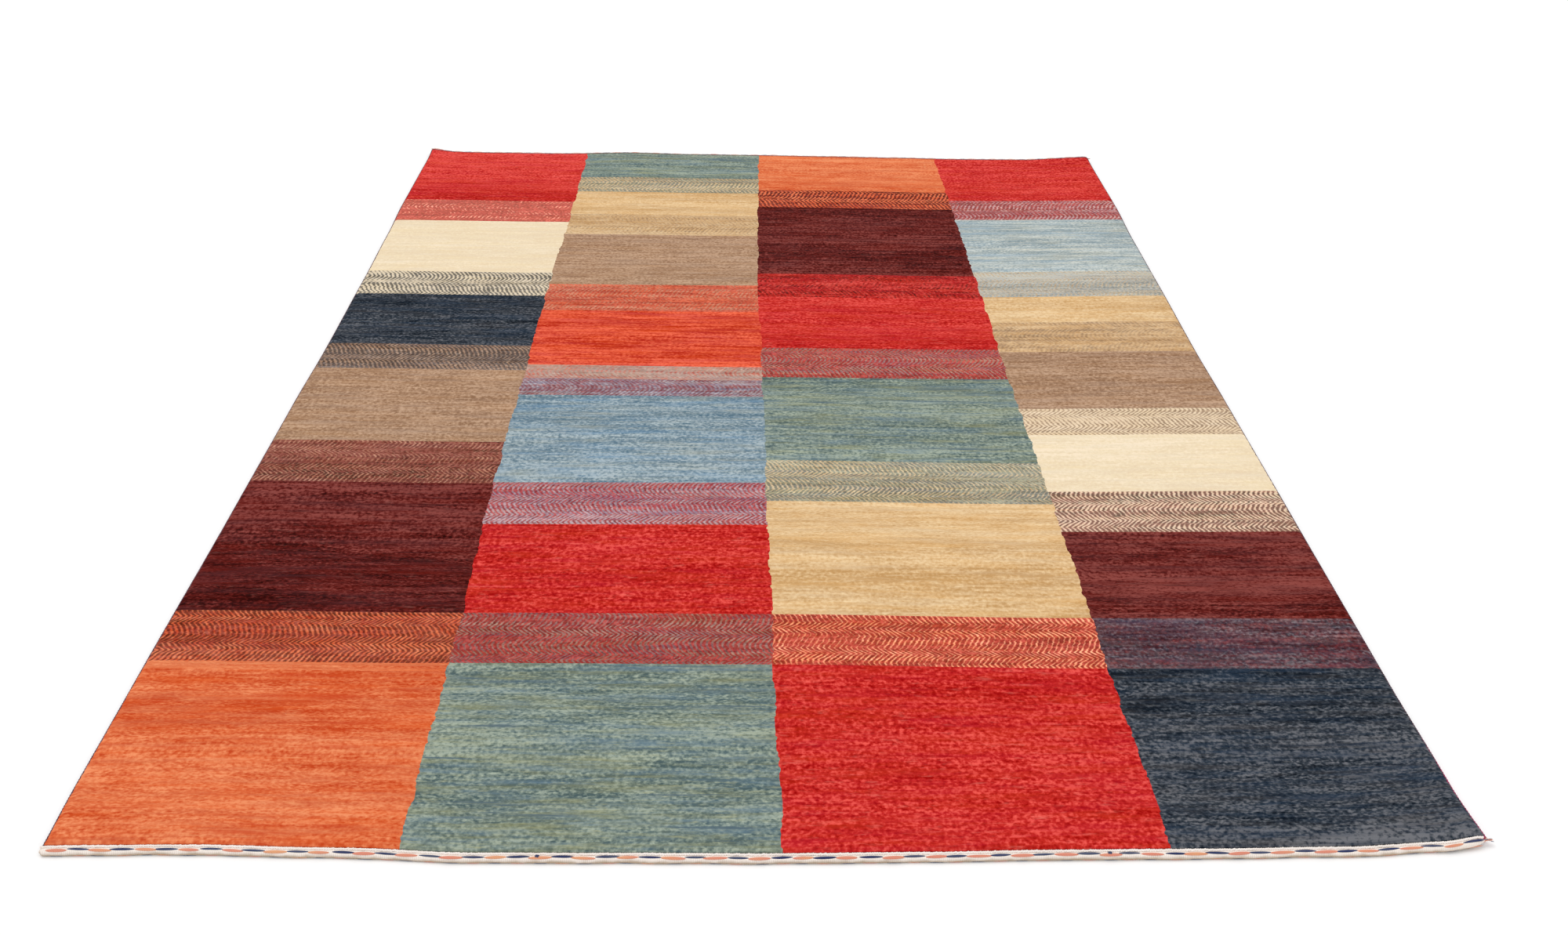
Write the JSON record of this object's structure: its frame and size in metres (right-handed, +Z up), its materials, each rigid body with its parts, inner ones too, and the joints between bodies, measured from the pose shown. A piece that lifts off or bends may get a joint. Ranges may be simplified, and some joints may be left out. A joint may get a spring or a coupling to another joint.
{
  "type": "lori rug",
  "caption": "Hand-knotted wool pile rug in columns of plain and two-yarn colour blocks, with folded flat-woven ends and overcast side cords, lying flat.",
  "frame": {"origin": "centre of the rug's outline, on its underside", "axes": "+X across the rug, +Y along it to the far end, +Z up"},
  "size_m": [2.0176, 3.0102, 0.0181],
  "materials": {
    "wool_red": "cut wool pile, red",
    "wool_orange": "cut wool pile, soft orange",
    "wool_vermilion": "cut wool pile, orange-red",
    "wool_teal": "cut wool pile, grey-green teal",
    "wool_gold": "cut wool pile, straw gold",
    "wool_taupe": "cut wool pile, brown-grey taupe",
    "wool_cream": "cut wool pile, natural cream",
    "wool_navy": "cut wool pile, dark navy",
    "wool_burgundy": "cut wool pile, dark burgundy",
    "wool_blue": "cut wool pile, mid blue",
    "wool_light_blue": "cut wool pile, pale blue",
    "hem_cotton": "flat-woven undyed cotton",
    "side_wool": "overcast wool, dark purple and maroon",
    "wool_mixed": "cut wool pile, two yarns knotted by turns",
    "navy_yarn": "twined wool yarn, navy",
    "coral_yarn": "twined wool yarn, coral"
  },
  "bodies": {
    "root": {"rug_pile": "wool_red", "selvedge_left": "side_wool", "selvedge_right": "side_wool"}
  },
  "joints": []
}
